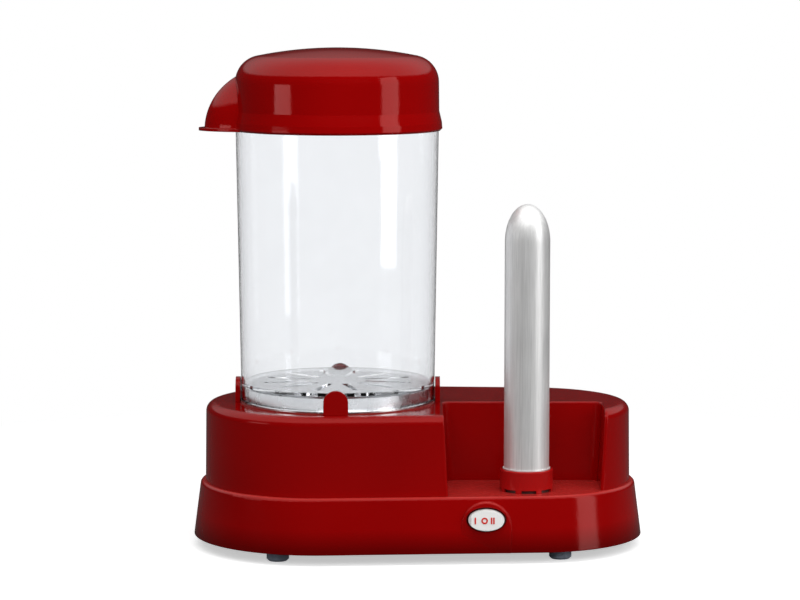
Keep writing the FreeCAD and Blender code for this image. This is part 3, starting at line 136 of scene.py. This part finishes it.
class Shader:
    """A node material around one principled shader, with its textures in metres of the object."""

    def __init__(self, name, **sockets):
        self.material = bpy.data.materials.new(name)
        self.material.use_nodes = True
        self.tree = self.material.node_tree
        self.bsdf = self.tree.nodes["Principled BSDF"]
        self.place = self.add("TexCoord").outputs["Object"]
        for socket, value in sockets.items():
            self.bsdf.inputs[socket.replace("_", " ")].default_value = value

    def add(self, kind, *inputs, **named):
        """A new node of this material."""
        return add_node(self.tree, kind, *inputs, **named)

    def link(self, output, socket):
        """Feeds one of the principled shader's inputs."""
        self.tree.links.new(output, self.bsdf.inputs[socket])

    def source(self, socket):
        """The output that feeds one of the principled shader's inputs."""
        return self.bsdf.inputs[socket].links[0].from_socket

    def stretched(self, scale):
        """The object's coordinates, each axis scaled on its own."""
        return self.add("Mapping", Vector=self.place, Scale=scale).outputs["Vector"]

    def noise(self, scale, detail=3.0, rough=0.55, place=None):
        """Soft random patches, so many to the metre."""
        settings = {"Scale": scale, "Detail": detail, "Roughness": rough}
        return self.add("TexNoise", Vector=place or self.place, **settings).outputs["Fac"]

    def between(self, factor, low, high, start=0.3, end=0.7):
        """A number that runs from low to high as the factor runs from start to end."""
        return self.add("MapRange", factor, start, end, low, high).outputs["Result"]

    def shades(self, factor, first, second):
        """A colour that runs from the first to the second with the factor."""
        node = self.add("ValToRGB", factor)
        node.color_ramp.elements[0].position = 0.3
        node.color_ramp.elements[1].position = 0.7
        node.color_ramp.elements[0].color = (*first, 1.0)
        node.color_ramp.elements[1].color = (*second, 1.0)
        return node.outputs["Color"]

    def mix(self, factor, first, second):
        """Two colours, or colour outputs, mixed by the factor."""
        ends = [end if isinstance(end, bpy.types.NodeSocket) else (*end, 1.0) for end in (first, second)]
        return self.add("MixRGB", factor, *ends).outputs["Color"]

    def axis(self, vector, letter):
        """One of a vector's three numbers."""
        return self.add("SeparateXYZ", vector).outputs[letter]

    def length(self, vector):
        """A vector's length."""
        return self.add("VectorMath", vector, operation="LENGTH").outputs["Value"]

    def soften(self, radius):
        """Lets light see the solid's edges as rounded by a radius in metres."""
        edges = self.add("Bevel", samples=6, Radius=radius)
        self.link(edges.outputs["Normal"], "Normal")

    def bump(self, height, distance, strength=1.0):
        """Raises the surface by up to a distance in metres, on top of the bumps set before."""
        node = self.add("Bump", Height=height, Distance=distance, Strength=strength)
        if self.bsdf.inputs["Normal"].is_linked:
            self.tree.links.new(self.source("Normal"), node.inputs["Normal"])
        self.link(node.outputs["Normal"], "Normal")


def glossy_plastic(name, colour, low=0.09, high=0.17, tint=RED_TINT):
    """Polished moulded plastic: faint flow marks, fine scratches and a breath of dust."""
    shader = Shader(name, Specular_IOR_Level=0.45, Specular_Tint=(*tint, 1.0), IOR=1.46)
    shader.soften(EDGE_RADIUS)
    flow = shader.noise(scale=9.0, detail=2.0)
    shader.link(shader.shades(flow, tinted(colour, 0.9), tinted(colour, 1.1)), "Base Color")
    wear = shader.noise(scale=55.0, detail=8.0, rough=0.7)
    shader.link(shader.between(wear, low, high), "Roughness")
    shader.bump(shader.noise(scale=260.0, detail=2.0), distance=0.00004)
    upright = shader.stretched((1.0, 1.0, 0.06))
    scratches = shader.noise(scale=420.0, detail=6.0, rough=0.8, place=upright)
    shader.bump(scratches, distance=0.00001)
    return shader


def plinth_dust_and_painted_shading():
    """The plinth's plastic: paler where it faces up, partly dust and partly painted light, and darkened by
    painted shade low on its skirt.
    """
    shader = glossy_plastic("red_plinth", RED_HOUSING)
    facing = shader.axis(shader.add("NewGeometry").outputs["Normal"], "Z")
    # Partly dust, partly painted light: faces that look up are made paler
    dust_and_light_mask = shader.between(facing, 0.0, 0.9, start=0.55, end=0.95)
    dust_and_painted_light = shader.mix(dust_and_light_mask, shader.source("Base Color"), RED_DUST_AND_PAINTED_LIGHT)
    height = shader.axis(shader.place, "Z")
    # Painted shade: the skirt's colour darkens towards its foot
    skirt_painted_shade = shader.between(height, 0.75, 0.0, start=SKIRT_PAINTED_SHADE_FOOT, end=SKIRT_PAINTED_SHADE_TOP)
    shader.link(shader.mix(skirt_painted_shade, dust_and_painted_light, RED_SKIRT_PAINTED_SHADE), "Base Color")
    return shader


def textured_plastic(name, colour, low=0.42, high=0.6):
    """Matt plastic with a fine spark-eroded grain."""
    shader = Shader(name, Specular_IOR_Level=0.4)
    patches = shader.noise(scale=14.0, detail=4.0)
    shader.link(shader.shades(patches, tinted(colour, 0.82), tinted(colour, 1.2)), "Base Color")
    shader.link(shader.between(shader.noise(scale=120.0, detail=4.0), low, high), "Roughness")
    shader.bump(shader.noise(scale=1500.0, detail=2.0), distance=0.0001, strength=0.7)
    return shader


def rubber(name, colour):
    """Moulded rubber, dull, with dust in its grain."""
    shader = Shader(name, Specular_IOR_Level=0.3, Sheen_Weight=0.15, Sheen_Roughness=0.5)
    dust = shader.noise(scale=90.0, detail=6.0, rough=0.7)
    shader.link(shader.shades(dust, colour, tinted(colour, 1.7)), "Base Color")
    shader.link(shader.between(dust, 0.6, 0.8), "Roughness")
    shader.bump(shader.noise(scale=900.0), distance=0.00012, strength=0.8)
    return shader


def drawn_metal(name, colour, low=0.38, high=0.52, stretch=UPRIGHT, metallic=1.0):
    """Metal with fine lines along one axis, the way it was drawn or brushed."""
    shader = Shader(name, Metallic=metallic)
    lines = shader.noise(scale=1100.0, detail=4.0, rough=0.6, place=shader.stretched(stretch))
    smears = shader.noise(scale=30.0, detail=5.0, rough=0.65)
    shader.link(shader.shades(lines, tinted(colour, 0.86), tinted(colour, 1.06)), "Base Color")
    shader.link(shader.between(smears, low, high), "Roughness")
    shader.bump(lines, distance=0.00002, strength=0.8)
    return shader


def spun_metal(name, colour, centre):
    """Metal turned on a lathe: rings round an upright axis, with a trace of scale from the water."""
    shader = Shader(name, Metallic=1.0)
    away = (-centre[0], -centre[1], 0.0)
    flat = shader.add("Mapping", Vector=shader.place, Location=away, Scale=(1.0, 1.0, 0.0))
    across = shader.add("CombineXYZ", X=shader.length(flat.outputs["Vector"]))
    rings = shader.noise(scale=2600.0, rough=0.6, place=across.outputs["Vector"])
    limescale = shader.noise(scale=45.0, detail=8.0, rough=0.7)
    shader.link(shader.shades(limescale, tinted(colour, 0.9), tinted(colour, 1.05)), "Base Color")
    shader.link(shader.between(limescale, 0.18, 0.36), "Roughness")
    shader.bump(rings, distance=0.00003, strength=0.8)
    return shader


def spike_metal():
    """The spike's drawn aluminium, with painted shade on its foot inside the collar."""
    shader = drawn_metal("spike_aluminium", ALUMINIUM, metallic=0.6)
    height = shader.axis(shader.place, "Z")
    # Painted shade: the spike's foot is darkened inside the collar
    foot = shader.between(height, 1.0, 0.0, start=SPIKE_PAINTED_SHADE_TOP - SPIKE_PAINTED_SHADE_EDGE, end=SPIKE_PAINTED_SHADE_TOP)
    shader.link(shader.mix(foot, shader.source("Base Color"), SPIKE_PAINTED_SHADE), "Base Color")
    return shader


def sheet_metal(name, colour):
    """Plain galvanised sheet, with its faint spangle."""
    shader = Shader(name, Metallic=1.0)
    spangle = shader.add("TexVoronoi", Vector=shader.place, Scale=160.0).outputs["Color"]
    shader.link(shader.shades(spangle, tinted(colour, 0.85), tinted(colour, 1.15)), "Base Color")
    shader.link(shader.between(shader.noise(scale=70.0, detail=5.0), 0.3, 0.5), "Roughness")
    shader.bump(shader.noise(scale=600.0), distance=0.00003)
    return shader


def clear_plastic(name):
    """Clear moulded plastic: nearly colourless, greyer at its edges, with faint upright flow lines."""
    shader = Shader(name, IOR=1.46, Transmission_Weight=1.0, Specular_IOR_Level=0.5)
    haze = shader.noise(scale=26.0, detail=6.0, rough=0.7)
    lines = shader.noise(scale=170.0, detail=5.0, rough=0.75, place=shader.stretched(UPRIGHT))
    facing = shader.add("LayerWeight", Blend=0.5).outputs["Facing"]
    edge = shader.between(facing, 0.0, 1.0, start=0.5, end=0.97)
    grey = shader.shades(lines, CLEAR_EDGE, tinted(CLEAR_EDGE, 1.2))
    shader.link(shader.mix(edge, shader.shades(haze, CLEAR, tinted(CLEAR, 1.03)), grey), "Base Color")
    shader.link(shader.between(haze, 0.0, 0.05, start=0.45, end=0.8), "Roughness")
    shader.bump(lines, distance=0.00006, strength=0.6)
    return shader


def finish_nodes():
    """Gives every carried-over piece of the model its finish."""
    housing = glossy_plastic("red_housing", RED_HOUSING)
    dish_middle = (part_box("container")[0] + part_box("container")[1]) / 2
    screws = spun_metal("screw_steel", GALVANISED, (0.0, 0.0))
    sheet = sheet_metal("sheet_steel", GALVANISED)
    heater = drawn_metal("heater_steel", HEATER_STEEL, 0.35, 0.6, EVEN)
    foot = rubber("foot_rubber", FOOT_RUBBER)
    seal = rubber("silicone", SILICONE)
    brown = rubber("lead_brown", BROWN_LEAD)
    blue = rubber("lead_blue", BLUE_LEAD)
    finishes = {
        "base_plinth": plinth_dust_and_painted_shading(),
        "base_housing": housing,
        "container_tabs": housing,
        "lid": glossy_plastic("red_lid", RED_LID, 0.05, 0.1),
        "spike_collar": glossy_plastic("red_collar", RED_COLLAR),
        "container": clear_plastic("clear_plastic"),
        "water_dish": spun_metal("dish_steel", STEEL, dish_middle),
        "bun_spike": spike_metal(),
        "bottom_cover": textured_plastic("black_plastic", BLACK_PLASTIC),
        # Painted shade: the switch case takes the shaded red seen in the gap round the rocker
        "switch_body": textured_plastic("switch_case", RED_GAP_PAINTED_SHADE),
        "switch_rocker": glossy_plastic("white_rocker", WHITE_PLASTIC, 0.2, 0.32, WHITE_TINT),
        "rocker_marks": textured_plastic("red_mark", RED_MARK, 0.35, 0.5),
        "switch_terminals": drawn_metal("terminal_brass", BRASS, 0.2, 0.4, EVEN),
        "terminal_block": textured_plastic("white_block", WHITE_PLASTIC),
        "dish_thermostat": textured_plastic("thermostat_shell", CERAMIC),
        "thermal_fuse": drawn_metal("fuse_metal", ALUMINIUM, 0.2, 0.4, DEEP),
        "cord_gland": rubber("gland_rubber", GLAND_RUBBER),
    }
    groups = (
        (screws, "cover_screws", "housing_screws", "bracket_screws", "retainer_screws", "switch_pin"),
        (sheet, "dish_bracket", "heat_shield", "spike_retainer"),
        (heater, "ring_heater", "spike_heater"),
        (foot, "foot_front_left", "foot_rear_left", "foot_front_right", "foot_rear_right"),
        (seal, "dish_gasket", "spike_seal"),
        (brown, "heater_lead_live", "spike_lead_live", "switch_lead"),
        (blue, "heater_lead_neutral", "spike_lead_neutral"),
    )
    for shader, *members in groups:
        for member in members:
            finishes[member] = shader
    for name, node in nodes.items():
        for slot in node.material_slots:
            slot.material = finishes[name].material


def white_backdrop():
    """A world that is white to the eye and through glass. Gloss mirrors its bright cap and, outside that, the
    dark of a studio, and matt surfaces get its fill light."""
    world = bpy.data.worlds.new("studio")
    bpy.context.scene.world = world
    world.use_nodes = True
    tree = world.node_tree
    tree.nodes.clear()
    way = add_node(tree, "TexCoord").outputs["Generated"]
    forwards = calculate(tree, "SUBTRACT", 1.0, add_node(tree, "SeparateXYZ", way).outputs["Y"])
    rise = calculate(tree, "POWER", forwards, SHEEN_POWER)
    bright = calculate(tree, "MULTIPLY", rise, SHEEN_LIGHT)
    up = add_node(tree, "VectorMath", way, SHEEN_MIDDLE, operation="DOT_PRODUCT").outputs["Value"]
    edge = (SHEEN_EDGE - SHEEN_BLUR, SHEEN_EDGE + SHEEN_BLUR)
    sheen = add_node(tree, "MapRange", up, *edge, SHEEN_DARK, bright).outputs["Result"]
    is_glossy = add_node(tree, "LightPath").outputs["Is Glossy Ray"]
    mirrored = calculate(tree, "MULTIPLY", is_glossy, sheen)
    white = calculate(tree, "MAXIMUM", seen_by_eye(tree), mirrored)
    fill = calculate(tree, "MULTIPLY", calculate(tree, "SUBTRACT", 1.0, is_glossy), FILL)
    strength = calculate(tree, "MAXIMUM", white, fill)
    light = add_node(tree, "Background", Strength=strength)
    light.inputs["Color"].default_value = (1.0, 1.0, 1.0, 1.0)
    add_node(tree, "OutputWorld", light.outputs["Background"])


def floor():
    """A pale plain floor: it keeps the object's shadow, and to the eye it fades to white away from it."""
    mesh = bpy.data.meshes.new("floor")
    half = FLOOR_HALF
    corners = [(-half, -half, 0), (half, -half, 0), (half, half, 0), (-half, half, 0)]
    mesh.from_pydata(corners, [], [(0, 1, 2, 3)])
    item = bpy.data.objects.new("floor", mesh)
    bpy.context.scene.collection.objects.link(item)
    shader = Shader("floor_white", Roughness=0.9, Specular_IOR_Level=0.0)
    seen = seen_by_eye(shader.tree)
    grey = shader.between(seen, FLOOR_BOUNCE, FLOOR_WHITE, start=0.0, end=1.0)
    shader.link(shader.add("CombineColor", grey, grey, grey).outputs["Color"], "Base Color")
    glow = shader.add("Emission", Strength=calculate(shader.tree, "MULTIPLY", seen, FLOOR_LIFT))
    near = shader.add("AddShader", shader.bsdf.outputs["BSDF"], glow.outputs["Emission"])
    white = shader.add("Emission", Strength=seen)
    away = shader.between(shader.length(shader.place), 0.0, 1.0, start=FADE_START, end=FADE_END)
    far = calculate(shader.tree, "MULTIPLY", away, seen)
    faded = shader.add("MixShader", far, near.outputs["Shader"], white.outputs["Emission"])
    shader.tree.links.new(faded.outputs["Shader"], shader.tree.nodes["Material Output"].inputs["Surface"])
    mesh.materials.append(shader.material)


def softbox(name, azimuth, elevation, distance, wide, tall, power, gloss=True):
    """A rectangular lamp round the object, facing it. Azimuth 0 is the camera's side, and the right is
    positive. Without gloss the lamp lights the object, but isn't mirrored in it."""
    lamp = bpy.data.lights.new(name, "AREA")
    lamp.shape = "RECTANGLE"
    lamp.size = wide
    lamp.size_y = tall
    lamp.energy = power
    item = bpy.data.objects.new(name, lamp)
    bpy.context.scene.collection.objects.link(item)
    across, up = math.radians(azimuth), math.radians(elevation)
    away = Vector((math.sin(across) * math.cos(up), -math.cos(across) * math.cos(up), math.sin(up)))
    item.location = CAMERA_AIM + away * distance
    item.rotation_euler = away.to_track_quat("Z", "Y").to_euler()
    item.visible_glossy = gloss


def camera():
    """The photograph's viewpoint."""
    lens = bpy.data.cameras.new("camera")
    lens.lens = LENS
    lens.sensor_width = SENSOR
    item = bpy.data.objects.new("camera", lens)
    bpy.context.scene.collection.objects.link(item)
    back = Vector((0.0, -math.cos(CAMERA_ELEVATION), math.sin(CAMERA_ELEVATION)))
    item.location = CAMERA_AIM + back * CAMERA_DISTANCE
    item.rotation_euler = back.to_track_quat("Z", "Y").to_euler()
    bpy.context.scene.camera = item


finish_nodes()
white_backdrop()
floor()
softbox("left_softbox", -62.0, 5.0, distance=1.3, wide=0.46, tall=0.16, power=0.8)
softbox("right_softbox", 61.0, 10.0, distance=1.3, wide=0.5, tall=1.0, power=5.0)
softbox("front_softbox", 8.0, 24.0, distance=1.5, wide=1.6, tall=0.5, power=8.0, gloss=False)
softbox("top_softbox", 8.0, 60.0, distance=1.5, wide=2.4, tall=0.6, power=12.0, gloss=False)
camera()
bpy.context.scene.view_settings.view_transform = "Standard"
